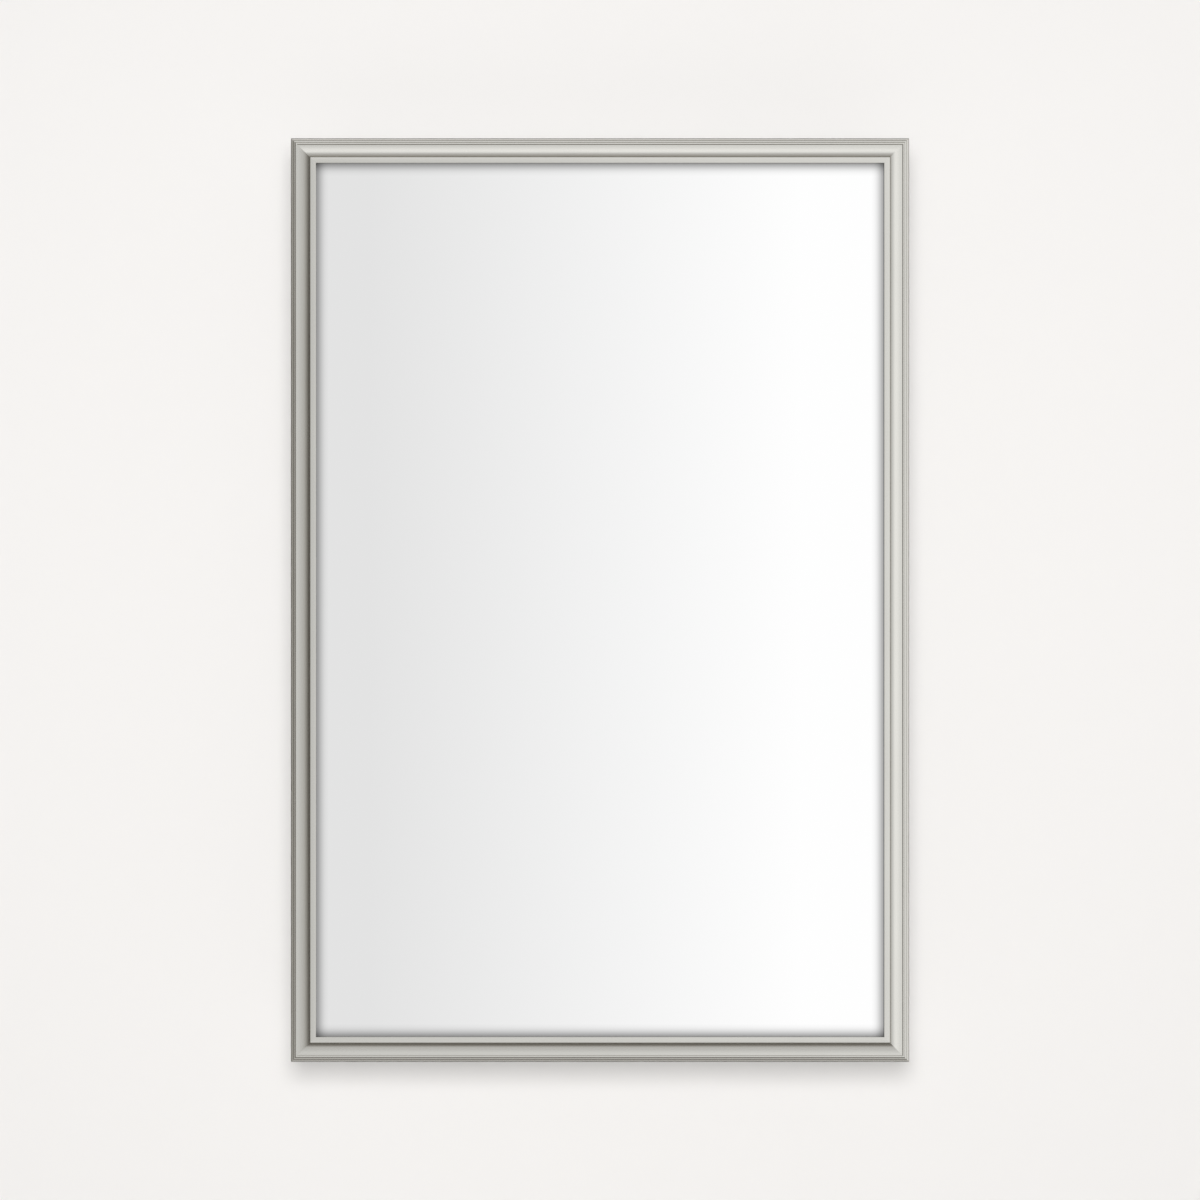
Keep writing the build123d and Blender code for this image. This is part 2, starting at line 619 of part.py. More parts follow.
def latch_spring():
    """Coil spring behind the plunger, drawn pressed, so that it fits over the whole travel."""
    room = LATCH_BORE_END_Y - PLUNGER_REAR_Y - PLUNGER_TRAVEL - STRIKE_GAP
    height = room - SPRING_WIRE
    axis_start = Plane(origin=(LATCH_X, PLUNGER_REAR_Y + SPRING_WIRE / 2, LATCH_Z), z_dir=(0, 1, 0))
    path = axis_start * Helix(height / SPRING_TURNS, height, SPRING_RADIUS)
    section = Plane(origin=path @ 0, z_dir=path % 0) * Circle(SPRING_WIRE / 2)
    return sweep(section, path=path)


def latch_screws():
    """Pan-head screws that hold the latch to the right side panel."""
    screws = []
    for z in latch_screw_zs():
        seat = (LATCH_BASE_X, latch_screw_y(), z)
        screw = dome_head(seat, (-1, 0, 0), RIVET_HEAD_RADIUS, RIVET_TAIL_HEIGHT)
        screw += rod(seat, (1, 0, 0), RIVET_RADIUS, LATCH_BASE_THICKNESS + SHEET)
        screws.append(screw)
    return screws


def strike_screw_zs():
    return [LATCH_Z - STRIKE_SCREW_Z, LATCH_Z + STRIKE_SCREW_Z]


def strike_plate():
    """Steel plate on the door's back that the magnet holds."""
    half_width = STRIKE_WIDTH / 2
    half_height = STRIKE_HEIGHT / 2
    x_range = (LATCH_X - half_width, LATCH_X + half_width)
    y_range = (DOOR_BACK_Y, DOOR_BACK_Y + STRIKE_THICKNESS)
    plate = block(x_range, y_range, (LATCH_Z - half_height, LATCH_Z + half_height))
    plate = fillet(plate.edges().filter_by(Axis.Y), 2.0)
    for z in strike_screw_zs():
        start = (LATCH_X, DOOR_BACK_Y, z)
        plate -= rod(start, (0, 1, 0), LEAF_SCREW_RADIUS + HOLE_CLEARANCE, STRIKE_THICKNESS)
    return plate


def strike_screws():
    screws = []
    for z in strike_screw_zs():
        seat = (LATCH_X, DOOR_BACK_Y + STRIKE_THICKNESS, z)
        screw = dome_head(seat, (0, 1, 0), LEAF_HEAD_RADIUS, LEAF_HEAD)
        screw += rod(seat, (0, -1, 0), LEAF_SCREW_RADIUS, STRIKE_THICKNESS + LEAF_SCREW_LENGTH)
        screws.append(screw)
    return screws


# ---------------------------------------------------------------- door frame
def reed_edges():
    """The reeds climb inward: each has a round riser and a tilted tread, and the last is a crest."""
    edges = []
    corner = Vector(0, SKIRT_HEIGHT)
    for reed in range(REEDS):
        tilt = 0.0 if reed == REEDS - 1 else TREAD_TILT
        centre = corner + Vector(REED_ROUND, 0)
        riser = CenterArc(centre, REED_ROUND, 180, tilt - 90)
        run = corner.X + REED_WIDTH - (riser @ 1).X
        tread = Line(riser @ 1, riser @ 1 + Vector(run, run * tan(radians(tilt))))
        edges += [riser, tread]
        corner = tread @ 1
    fall = (COVE_START_U - corner.X) * tan(radians(CREST_FALL))
    edges.append(Line(corner, (COVE_START_U, corner.Y - fall)))
    return edges


def moulding_face():
    """Section of the frame moulding in (u, d): reeds, cove and bead in front, hollow behind."""
    edges = [Line((0, 0), (0, SKIRT_HEIGHT))] + reed_edges()
    cove_start = edges[-1] @ 1
    cove_width = COVE_END[0] - cove_start.X
    cove_rise = COVE_END[1] - cove_start.Y
    cove_centre = (cove_start.X, COVE_END[1])
    edges.append(EllipticalCenterArc(cove_centre, cove_width, cove_rise, 270, arc_size=90))
    bead_low = DOOR_DEPTH - BEAD_INNER_ROUND
    bead_flat = (COVE_END[0] + BEAD_OUTER_ROUND, FRAME_WIDTH - BEAD_INNER_ROUND)
    edges.append(CenterArc((bead_flat[0], COVE_END[1]), BEAD_OUTER_ROUND, 90, 90))
    edges.append(Line((bead_flat[0], DOOR_DEPTH), (bead_flat[1], DOOR_DEPTH)))
    edges.append(CenterArc((bead_flat[1], bead_low), BEAD_INNER_ROUND, 0, 90))
    inside = [
        (FRAME_WIDTH, bead_low),
        (FRAME_WIDTH, LIP),
        (REBATE_WALL, LIP),
        (REBATE_WALL, WEB_LOW),
        (FRAME_WALL, WEB_LOW),
        (FRAME_WALL, 0),
        (0, 0),
    ]
    edges += [Line(start, end) for start, end in zip(inside, inside[1:])]
    tube = Polyline(
        (FRAME_WALL, WEB_HIGH),
        (TUBE_INNER, WEB_HIGH),
        (TUBE_INNER, TUBE_CEILING),
        (FRAME_WALL + TUBE_SHOULDER_WIDTH, TUBE_CEILING),
        (FRAME_WALL, TUBE_CEILING - TUBE_SHOULDER_DROP),
        close=True,
    )
    return make_face(edges) - make_face(tube)


def key_screw_offset(length):
    return length / 2 - KEY_SCREW_FROM_CORNER


def key_screw_u():
    return KEY_EDGE + KEY_WIDTH / 2


def frame_member(length, board_screws):
    """One mitred moulding along Z, with u towards +X and d towards -Y."""
    section = Plane(origin=(0, 0, 0), x_dir=(1, 0, 0), z_dir=(0, 0, -1)) * moulding_face()
    member = extrude(section, length / 2, both=True)
    half = length / 2
    outline = Polyline(
        (0, -half),
        (FRAME_WIDTH, -half + FRAME_WIDTH),
        (FRAME_WIDTH, half - FRAME_WIDTH),
        (0, half),
        close=True,
    )
    member &= extrude(Plane.XZ * make_face(outline), DOOR_DEPTH)
    for z in board_screws:
        start = (BOARD_SCREW_U, -WEB_LOW, z)
        hole_radius = BOARD_SCREW_RADIUS + HOLE_CLEARANCE
        member -= rod(start, (0, -1, 0), hole_radius, WEB_HIGH - WEB_LOW)
    for end in (-1, 1):
        start = (key_screw_u(), -WEB_LOW, end * key_screw_offset(length))
        hole_radius = KEY_SCREW_RADIUS + HOLE_CLEARANCE
        member -= rod(start, (0, -1, 0), hole_radius, WEB_HIGH - WEB_LOW)
    return member


def stile_screw_zs():
    return spread(STILE_SCREWS, DOOR_HEIGHT / 2 - STILE_SCREW_INSET)


def rail_screw_xs():
    return spread(RAIL_SCREWS, DOOR_WIDTH / 2 - RAIL_SCREW_INSET)


def frame_members():
    """The four mouldings in their places."""
    stile = frame_member(DOOR_HEIGHT, stile_screw_zs())
    rail = frame_member(DOOR_WIDTH, rail_screw_xs())
    return {
        "frame_left": Pos(-DOOR_WIDTH / 2, DOOR_BACK_Y, 0) * stile,
        "frame_right": Pos(DOOR_WIDTH / 2, DOOR_BACK_Y, 0) * Rot(0, 180, 0) * stile,
        "frame_top": Pos(0, DOOR_BACK_Y, DOOR_HEIGHT / 2) * Rot(0, 90, 0) * rail,
        "frame_bottom": Pos(0, DOOR_BACK_Y, -DOOR_HEIGHT / 2) * Rot(0, -90, 0) * rail,
    }


def key_screw_spots():
    """Where the set screws stand, two for each corner."""
    stile_x = DOOR_WIDTH / 2 - key_screw_u()
    rail_z = DOOR_HEIGHT / 2 - key_screw_u()
    stile_z = key_screw_offset(DOOR_HEIGHT)
    rail_x = key_screw_offset(DOOR_WIDTH)
    return grid((-stile_x, stile_x), (-stile_z, stile_z)) + grid((-rail_x, rail_x), (-rail_z, rail_z))


def corner_keys():
    """Right-angle keys inside the hollow mouldings, one for each mitre."""
    y_range = (DOOR_BACK_Y - WEB_HIGH - KEY_HEIGHT, DOOR_BACK_Y - WEB_HIGH)
    outer_x = DOOR_WIDTH / 2 - KEY_EDGE
    outer_z = DOOR_HEIGHT / 2 - KEY_EDGE
    keys = []
    for x_side in (-1, 1):
        for z_side in (-1, 1):
            wide_x = sorted((x_side * outer_x, x_side * (outer_x - KEY_LEG)))
            narrow_x = sorted((x_side * outer_x, x_side * (outer_x - KEY_WIDTH)))
            tall_z = sorted((z_side * outer_z, z_side * (outer_z - KEY_LEG)))
            low_z = sorted((z_side * outer_z, z_side * (outer_z - KEY_WIDTH)))
            key = block(wide_x, y_range, low_z) + block(narrow_x, y_range, tall_z)
            for x, z in key_screw_spots():
                if x * x_side > 0 and z * z_side > 0:
                    start = (x, DOOR_BACK_Y - WEB_LOW, z)
                    hole_radius = KEY_SCREW_RADIUS + HOLE_CLEARANCE
                    key -= rod(start, (0, -1, 0), hole_radius, KEY_SCREW_LENGTH)
            keys.append(key)
    return keys


def corner_screws():
    """Headless set screws with hexagon sockets."""
    screws = []
    for x, z in key_screw_spots():
        start = (x, DOOR_BACK_Y - WEB_LOW, z)
        screw = rod(start, (0, -1, 0), KEY_SCREW_RADIUS, KEY_SCREW_LENGTH)
        socket = Plane(origin=start, z_dir=(0, -1, 0)) * RegularPolygon(SOCKET_RADIUS, 6)
        screws.append(screw - extrude(socket, SOCKET_DEPTH))
    return screws


# ---------------------------------------------------------------- door filling
def door_panel(edge, low, high):
    """A flat panel inside the frame: its distance from the door's edge, and its d range."""
    half_width = DOOR_WIDTH / 2 - edge
    half_height = DOOR_HEIGHT / 2 - edge
    y_range = (DOOR_BACK_Y - high, DOOR_BACK_Y - low)
    return block((-half_width, half_width), y_range, (-half_height, half_height))


def door_mirror():
    return door_panel(MIRROR_EDGE, MIRROR_BACK, MIRROR_FRONT)


def mirror_gasket():
    """Thin seal between the glass and the frame's lip."""
    whole = door_panel(MIRROR_EDGE, MIRROR_FRONT, LIP)
    return whole - door_panel(MIRROR_EDGE + GASKET_WIDTH, MIRROR_FRONT, LIP)


def mirror_tape():
    """Upright foam strips between the board and the mirror."""
    half_height = DOOR_HEIGHT / 2 - MIRROR_TAPE_END_INSET
    y_range = (DOOR_BACK_Y - MIRROR_BACK, DOOR_BACK_Y - BOARD_THICKNESS)
    inset = MIRROR_TAPE_SIDE_INSET - TAPE_WIDTH / 2
    return upright_strips(DOOR_WIDTH / 2, half_height, y_range, MIRROR_TAPES, inset)


def board_screw_spots():
    stile_x = DOOR_WIDTH / 2 - BOARD_SCREW_U
    rail_z = DOOR_HEIGHT / 2 - BOARD_SCREW_U
    stile_spots = grid((-stile_x, stile_x), stile_screw_zs())
    return stile_spots + grid(rail_screw_xs(), (-rail_z, rail_z))


def board_screw_head(x, z):
    seat = (x, DOOR_BACK_Y, z)
    return taper(seat, (0, -1, 0), BOARD_SCREW_HEAD_RADIUS, BOARD_SCREW_RADIUS, BOARD_SCREW_HEAD)


def door_board():
    """Board behind the mirror: stepped edge, pocket for the inner mirror, all screw holes."""
    board = door_panel(BOARD_FLANGE_EDGE, 0, BOARD_FLANGE)
    board += door_panel(BOARD_CORE_EDGE, BOARD_FLANGE, BOARD_THICKNESS)
    half_width = INNER_MIRROR_HALF_WIDTH + POCKET_GAP
    half_height = INNER_MIRROR_HALF_HEIGHT + POCKET_GAP
    pocket_y = (DOOR_BACK_Y - POCKET_DEPTH, DOOR_BACK_Y)
    board -= block((-half_width, half_width), pocket_y, (-half_height, half_height))
    for x, z in board_screw_spots():
        hole_radius = BOARD_SCREW_RADIUS + HOLE_CLEARANCE
        board -= rod((x, DOOR_BACK_Y, z), (0, -1, 0), hole_radius, BOARD_FLANGE)
        board -= board_screw_head(x, z)
    small_holes = [(PIN_X + LEAF_FIXING_X, z) for z in leaf_fixing_zs()]
    small_holes += [(LATCH_X, z) for z in strike_screw_zs()]
    for x, z in small_holes:
        hole_radius = LEAF_SCREW_RADIUS + HOLE_CLEARANCE
        board -= rod((x, DOOR_BACK_Y, z), (0, -1, 0), hole_radius, LEAF_SCREW_LENGTH)
    return board


def board_screws():
    """Countersunk screws that hold the board to the frame."""
    screws = []
    for x, z in board_screw_spots():
        shank = rod((x, DOOR_BACK_Y, z), (0, -1, 0), BOARD_SCREW_RADIUS, BOARD_SCREW_LENGTH)
        screws.append(board_screw_head(x, z) + shank)
    return screws


def inner_mirror():
    """Mirror let into the door's back, level with the board."""
    x_range = (-INNER_MIRROR_HALF_WIDTH, INNER_MIRROR_HALF_WIDTH)
    y_range = (DOOR_BACK_Y - INNER_MIRROR_THICKNESS, DOOR_BACK_Y)
    return block(x_range, y_range, (-INNER_MIRROR_HALF_HEIGHT, INNER_MIRROR_HALF_HEIGHT))


def inner_mirror_tape():
    half_height = INNER_MIRROR_HALF_HEIGHT - TAPE_WIDTH
    y_range = (DOOR_BACK_Y - POCKET_DEPTH, DOOR_BACK_Y - INNER_MIRROR_THICKNESS)
    return upright_strips(INNER_MIRROR_HALF_WIDTH, half_height, y_range, TAPES, TAPE_INSET)


# ---------------------------------------------------------------- all nodes
def cabinet_nodes():
    nodes = {
        "side_panel_left": side_panel(-1),
        "side_panel_right": side_panel(1),
        "top_panel": end_panel(1),
        "bottom_panel": end_panel(-1),
        "back_panel": back_panel(),
        "panel_rivets": panel_rivets(),
        "back_rivets": back_rivets(),
        "back_mirror": back_mirror(),
        "back_mirror_tape": back_mirror_tape(),
        "shelf_rails_left": shelf_rails(-1),
        "shelf_rails_right": shelf_rails(1),
        "shelf_pads": shelf_pads(),
        "door_bumpers": door_bumpers(),
    }
    for name, step in shelf_steps().items():
        nodes[f"shelf_{name}"] = shelf(step)
        nodes[f"shelf_supports_{name}"] = shelf_supports(step)
    return nodes


def hinge_nodes():
    return {
        "hinge_leaf_body": hinge_leaf_body(),
        "hinge_leaf_door": hinge_leaf_door(),
        "hinge_pin": hinge_pin(),
        "hinge_rivets": hinge_rivets(),
        "hinge_screws": hinge_screws(),
    }


def latch_nodes():
    return {
        "latch_housing": latch_housing(),
        "latch_plunger": latch_plunger(),
        "latch_magnet": latch_magnet(),
        "latch_spring": latch_spring(),
        "latch_screws": latch_screws(),
        "strike_plate": strike_plate(),
        "strike_screws": strike_screws(),
    }


def door_nodes():
    nodes = frame_members()
    nodes["corner_keys"] = corner_keys()
    nodes["corner_screws"] = corner_screws()
    nodes["door_mirror"] = door_mirror()
    nodes["mirror_gasket"] = mirror_gasket()
    nodes["mirror_tape"] = mirror_tape()
    nodes["door_board"] = door_board()
    nodes["board_screws"] = board_screws()
    nodes["inner_mirror"] = inner_mirror()
    nodes["inner_mirror_tape"] = inner_mirror_tape()
    return nodes


def write_nodes():
    os.makedirs("parts", exist_ok=True)
    nodes = cabinet_nodes() | hinge_nodes() | latch_nodes() | door_nodes()
    for name, shape in nodes.items():
        solids = shape if isinstance(shape, list) else [shape]
        whole = Compound(children=solids) if len(solids) > 1 else solids[0]
        export_step(whole, f"parts/{name}.step")


write_nodes()
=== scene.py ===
from math import cos, pi, radians, sin, tan

import bmesh
import bpy
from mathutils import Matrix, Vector
from mathutils.geometry import tessellate_polygon


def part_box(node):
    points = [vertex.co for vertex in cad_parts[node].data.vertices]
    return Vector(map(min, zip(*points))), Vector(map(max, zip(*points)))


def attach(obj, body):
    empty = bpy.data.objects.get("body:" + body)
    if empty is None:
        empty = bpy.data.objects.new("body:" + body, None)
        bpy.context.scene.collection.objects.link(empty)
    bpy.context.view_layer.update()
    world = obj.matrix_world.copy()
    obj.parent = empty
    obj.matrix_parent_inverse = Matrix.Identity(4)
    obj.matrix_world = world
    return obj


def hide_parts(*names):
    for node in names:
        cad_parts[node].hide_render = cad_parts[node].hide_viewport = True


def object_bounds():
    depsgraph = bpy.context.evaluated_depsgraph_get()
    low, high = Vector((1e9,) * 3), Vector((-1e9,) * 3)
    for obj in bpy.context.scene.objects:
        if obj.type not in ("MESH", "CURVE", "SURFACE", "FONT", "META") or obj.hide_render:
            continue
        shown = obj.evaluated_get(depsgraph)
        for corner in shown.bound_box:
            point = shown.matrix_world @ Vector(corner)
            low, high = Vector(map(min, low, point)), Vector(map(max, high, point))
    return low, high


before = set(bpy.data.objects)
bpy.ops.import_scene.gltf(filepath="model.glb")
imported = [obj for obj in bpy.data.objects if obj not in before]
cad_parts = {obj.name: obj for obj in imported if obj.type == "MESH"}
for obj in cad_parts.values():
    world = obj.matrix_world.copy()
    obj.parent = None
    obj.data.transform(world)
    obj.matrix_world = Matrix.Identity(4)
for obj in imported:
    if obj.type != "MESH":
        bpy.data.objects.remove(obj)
cad_low, cad_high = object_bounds()

MM = 0.001
MICRON = 0.000001

# ------------------------------------------------------------------ sizes taken from the frame
DOOR_WIDTH = cad_high.x - cad_low.x
DOOR_HEIGHT = cad_high.z - cad_low.z
DOOR_FRONT_Y = cad_low.y
WALL_Y = cad_high.y

# ------------------------------------------------------------------ section of the moulding
# In millimetres: u runs inward from the door's outer edge and d forward from its back plane.
FRAME_WIDTH = 20.9
DOOR_DEPTH = 24.0
FRAME_WALL = 1.6
SKIRT_HEIGHT = 17.0
REEDS = 3
REED_WIDTH = 1.62
REED_ROUND = 1.05
TREAD_TILT = radians(13.0)
CREST_FALL = radians(27.0)
COVE_START_U = 5.68
COVE_END = (15.87, 23.35)
BEAD_INNER_ROUND = 0.25
LIP = 18.0
REBATE_WALL = 15.5
WEB_LOW = 8.0
TUBE = [(1.6, 9.4), (14.1, 9.4), (14.1, 18.4), (5.6, 18.4), (1.6, 16.2)]
ARC_STEPS = 10
COVE_STEPS = 40
SHARP_ANGLE = radians(14)
DOOR_BACK_Y = DOOR_FRONT_Y + DOOR_DEPTH * MM


# ------------------------------------------------------------------ camera
OUTLINE_SHARE = 0.7694
CAMERA_DISTANCE = 4.0
SENSOR = 36.0


def make_camera():
    """Straight in front of the door, with the door's height filling its share of the picture."""
    data = bpy.data.cameras.new("camera")
    data.sensor_width = SENSOR
    data.lens = SENSOR * CAMERA_DISTANCE * OUTLINE_SHARE / DOOR_HEIGHT
    camera = bpy.data.objects.new("camera", data)
    bpy.context.collection.objects.link(camera)
    outline_y = DOOR_BACK_Y - SKIRT_HEIGHT * MM
    camera.location = (0, outline_y - CAMERA_DISTANCE, 0)
    camera.rotation_euler = (radians(90), 0, 0)
    bpy.context.scene.camera = camera


# ------------------------------------------------------------------ material helpers
NOISE_MIDDLE = (0.3, 0.7)
NOISE_ROUGHNESS = 0.55


def new_material(name, color, metallic=0.0, roughness=0.5):
    material = bpy.data.materials.new(name)
    material.use_nodes = True
    shader = material.node_tree.nodes["Principled BSDF"]
    shader.inputs["Base Color"].default_value = (*color, 1)
    shader.inputs["Metallic"].default_value = metallic
    shader.inputs["Roughness"].default_value = roughness
    return material


def shader_of(material):
    return material.node_tree.nodes["Principled BSDF"]


def add_node(tree, kind, **settings):
    node = tree.nodes.new(kind)
    for key, value in settings.items():
        setattr(node, key, value)
    return node


def math_node(tree, operation, first, second=None, clamp=False):
    """A Math node fed by sockets or plain numbers; returns its output."""
    node = add_node(tree, "ShaderNodeMath", operation=operation, use_clamp=clamp)
    for socket, value in zip(node.inputs, (first, second)):
        if value is None:
            continue
        if isinstance(value, (int, float)):
            socket.default_value = value
        else:
            tree.links.new(value, socket)
    return node.outputs[0]


def ramp_node(tree, factor, stops):
    """A colour ramp of (position, grey) or (position, colour) stops; returns its colour output."""
    node = add_node(tree, "ShaderNodeValToRGB")
    elements = node.color_ramp.elements
    while len(elements) < len(stops):
        elements.new(0.5)
    for element, (position, value) in zip(elements, stops):
        element.position = position
        element.color = (*value, 1) if isinstance(value, tuple) else (value, value, value, 1)
    tree.links.new(factor, node.inputs[0])
    return node.outputs[0]


def noise_value(tree, scale, stretch=(1, 1, 1), detail=4.0):
    """Noise in the piece's own metres, stretched along an axis."""
    coordinate = add_node(tree, "ShaderNodeTexCoord")
    mapping = add_node(tree, "ShaderNodeMapping")
    mapping.inputs["Scale"].default_value = stretch
    tree.links.new(coordinate.outputs["Object"], mapping.inputs["Vector"])
    noise = add_node(tree, "ShaderNodeTexNoise")
    noise.inputs["Scale"].default_value = scale
    noise.inputs["Detail"].default_value = detail
    noise.inputs["Roughness"].default_value = NOISE_ROUGHNESS
    tree.links.new(mapping.outputs[0], noise.inputs["Vector"])
    return noise.outputs[0]


def ranged(tree, value, from_low, from_high, to_low=0.0, to_high=1.0):
    """A clamped linear map of a value."""
    node = add_node(tree, "ShaderNodeMapRange")
    node.inputs["From Min"].default_value = from_low
    node.inputs["From Max"].default_value = from_high
    node.inputs["To Min"].default_value = to_low
    node.inputs["To Max"].default_value = to_high
    tree.links.new(value, node.inputs["Value"])
    return node.outputs[0]


def spread_noise(tree, value, low, high):
    """Spreads the useful middle of a noise value over low to high."""
    return ranged(tree, value, *NOISE_MIDDLE, low, high)


def mixed(tree, factor, first, second):
    """First where the factor is 0, second where it is 1; each a socket or a plain number."""
    node = add_node(tree, "ShaderNodeMix", data_type="FLOAT")
    tree.links.new(factor, node.inputs["Factor"])
    for socket, value in zip((node.inputs["A"], node.inputs["B"]), (first, second)):
        if isinstance(value, (int, float)):
            socket.default_value = value
        else:
            tree.links.new(value, socket)
    return node.outputs[0]


def vary_color(material, value, amount):
    """Lets a noise value lighten and darken the base colour by a small share."""
    tree = material.node_tree
    socket = shader_of(material).inputs["Base Color"]
    color = tuple(socket.default_value)[:3]
    dark = tuple(channel * (1 - amount) for channel in color)
    light = tuple(min(1.0, channel * (1 + amount)) for channel in color)
    tree.links.new(ramp_node(tree, value, list(zip(NOISE_MIDDLE, (dark, light)))), socket)


def vary_roughness(material, value, low, high):
    tree = material.node_tree
    tree.links.new(spread_noise(tree, value, low, high), shader_of(material).inputs["Roughness"])


def add_bump(material, value, height):
    """Relief of a given height in metres."""
    tree = material.node_tree
    bump = add_node(tree, "ShaderNodeBump")
    bump.inputs["Distance"].default_value = height
    tree.links.new(value, bump.inputs["Height"])
    tree.links.new(bump.outputs[0], shader_of(material).inputs["Normal"])


# ------------------------------------------------------------------ materials
# Noise scales are cycles per metre and reliefs are metres. A FACE pair is how squarely a face has to
# look forward (mirror) or up (shelf): below the first number it is edge, above the second face.
ALONG_Z = (1, 1, 0.012)
ALONG_X = (0.012, 1, 1)
NICKEL_COLOR = (0.652, 0.643, 0.606)
PANEL_COLOR = (0.78, 0.785, 0.79)
SILVER_COLOR = (0.93, 0.945, 0.94)
SEAM_COLOR = (0.25, 0.38, 0.34)
SEAM_ROUGHNESS = 0.28
MIRROR_FACE = (0.8, 0.95)
DOOR_SILVER = 0.95
# Shade painted into the door mirror's colour round its border, standing for the frame's shadow: (share
# of the depth from the glass's edge, brightness).
EDGE_SHADE_DEPTH = 10.3 * MM
EDGE_SHADE = [
    (0.0, 0.42), (0.08, 0.43), (0.16, 0.475), (0.28, 0.60), (0.40, 0.71), (0.52, 0.81),
    (0.64, 0.89), (0.78, 0.95), (1.0, 1.0),
]
SHELF_EDGE_COLOR = (0.46, 0.74, 0.64)
SHELF_FACE_COLOR = (0.94, 0.975, 0.96)
SHELF_FACE = (0.3, 0.9)
SHELF_EDGE_ROUGHNESS = 0.16
SHELF_FACE_ROUGHNESS = 0.015
GLASS_IOR = 1.52
PLASTIC_IOR = 1.46
PLASTIC_GRAIN = 900
PLASTIC_RELIEF = 12 * MICRON
SILVER_PIGMENT = 0.55


def satin_nickel(name, stretch):
    """Plated and brushed along the moulding, with a soft cloudiness."""
    material = new_material(name, NICKEL_COLOR, metallic=1.0)
    tree = material.node_tree
    streaks = noise_value(tree, 2600, stretch)
    vary_roughness(material, streaks, 0.15, 0.21)
    vary_color(material, noise_value(tree, 9, detail=2.0), 0.012)
    add_bump(material, streaks, 1.5 * MICRON)
    return material


def brushed_metal(name, color, stretch, roughness=(0.3, 0.42), relief=3 * MICRON):
    """Sheet with fine brushing in one direction."""
    material = new_material(name, color, metallic=1.0)
    tree = material.node_tree
    streaks = noise_value(tree, 1800, stretch)
    vary_roughness(material, streaks, *roughness)
    vary_color(material, noise_value(tree, 14, detail=3.0), 0.02)
    add_bump(material, streaks, relief)
    return material


def cast_metal(name, color):
    """Dull metal with an even grain, for fasteners and castings."""
    material = new_material(name, color, metallic=0.85)
    grain = noise_value(material.node_tree, 1400)
    vary_roughness(material, grain, 0.45, 0.6)
    vary_color(material, grain, 0.06)
    add_bump(material, grain, 30 * MICRON)
    return material


def plain_mirror(name):
    """Silvered glass with a trace of haze; its seamed edges show bare greenish glass."""
    material = new_material(name, SILVER_COLOR)
    tree = material.node_tree
    shader = shader_of(material)
    coordinate = add_node(tree, "ShaderNodeTexCoord")
    split = add_node(tree, "ShaderNodeSeparateXYZ")
    tree.links.new(coordinate.outputs["Normal"], split.inputs[0])
    facing = math_node(tree, "ABSOLUTE", split.outputs["Y"])
    silvered = ranged(tree, facing, *MIRROR_FACE)
    stops = [(0.0, SEAM_COLOR), (1.0, SILVER_COLOR)]
    tree.links.new(ramp_node(tree, silvered, stops), shader.inputs["Base Color"])
    tree.links.new(silvered, shader.inputs["Metallic"])
    haze = spread_noise(tree, noise_value(tree, 6, detail=2.0), 0.0, 0.012)
    tree.links.new(mixed(tree, silvered, SEAM_ROUGHNESS, haze), shader.inputs["Roughness"])
    return material


def door_mirror_material():
    """Silvered glass with a shade painted into its colour round the border, where the raised frame would
    lay its shadow.
    """
    material = new_material("door_mirror_glass", (DOOR_SILVER,) * 3, metallic=1.0)
    tree = material.node_tree
    coordinate = add_node(tree, "ShaderNodeTexCoord")
    split = add_node(tree, "ShaderNodeSeparateXYZ")
    tree.links.new(coordinate.outputs["Object"], split.inputs[0])
    half_sizes = (DOOR_WIDTH / 2 - FRAME_WIDTH * MM, DOOR_HEIGHT / 2 - FRAME_WIDTH * MM)
    shades = []
    for socket, half in zip((split.outputs["X"], split.outputs["Z"]), half_sizes):
        from_edge = math_node(tree, "SUBTRACT", half, math_node(tree, "ABSOLUTE", socket))
        share = math_node(tree, "DIVIDE", from_edge, EDGE_SHADE_DEPTH, clamp=True)
        shades.append(ramp_node(tree, share, EDGE_SHADE))
    # Painted shade: the silver colour darkens towards the glass's border, a shadow painted in rather
    # than cast.
    shade = math_node(tree, "MULTIPLY", shades[0], shades[1])
    shaded_silver = math_node(tree, "MULTIPLY", shade, DOOR_SILVER)
    color = add_node(tree, "ShaderNodeCombineColor")
    for socket in color.inputs:
        tree.links.new(shaded_silver, socket)
    tree.links.new(color.outputs[0], shader_of(material).inputs["Base Color"])
    vary_roughness(material, noise_value(tree, 5, detail=2.0), 0.0, 0.006)
    return material


def shelf_glass():
    """Clear float glass, greener at its ground edges."""
    material = new_material("shelf_glass", SHELF_FACE_COLOR)
    tree = material.node_tree
    shader = shader_of(material)
    shader.inputs["Transmission Weight"].default_value = 1.0
    shader.inputs["IOR"].default_value = GLASS_IOR
    geometry = add_node(tree, "ShaderNodeNewGeometry")
    split = add_node(tree, "ShaderNodeSeparateXYZ")
    tree.links.new(geometry.outputs["Normal"], split.inputs[0])
    flatness = math_node(tree, "ABSOLUTE", split.outputs["Z"])
    colors = zip(SHELF_FACE, (SHELF_EDGE_COLOR, SHELF_FACE_COLOR))
    tree.links.new(ramp_node(tree, flatness, list(colors)), shader.inputs["Base Color"])
    hazes = zip(SHELF_FACE, (SHELF_EDGE_ROUGHNESS, SHELF_FACE_ROUGHNESS))
    tree.links.new(ramp_node(tree, flatness, list(hazes)), shader.inputs["Roughness"])
    return material


def plastic(name, color, roughness=(0.35, 0.5)):
    """Moulded plastic with a fine grain."""
    material = new_material(name, color)
    grain = noise_value(material.node_tree, PLASTIC_GRAIN)
    vary_roughness(material, grain, *roughness)
    vary_color(material, noise_value(material.node_tree, 30, detail=2.0), 0.02)
    add_bump(material, grain, PLASTIC_RELIEF)
    return material


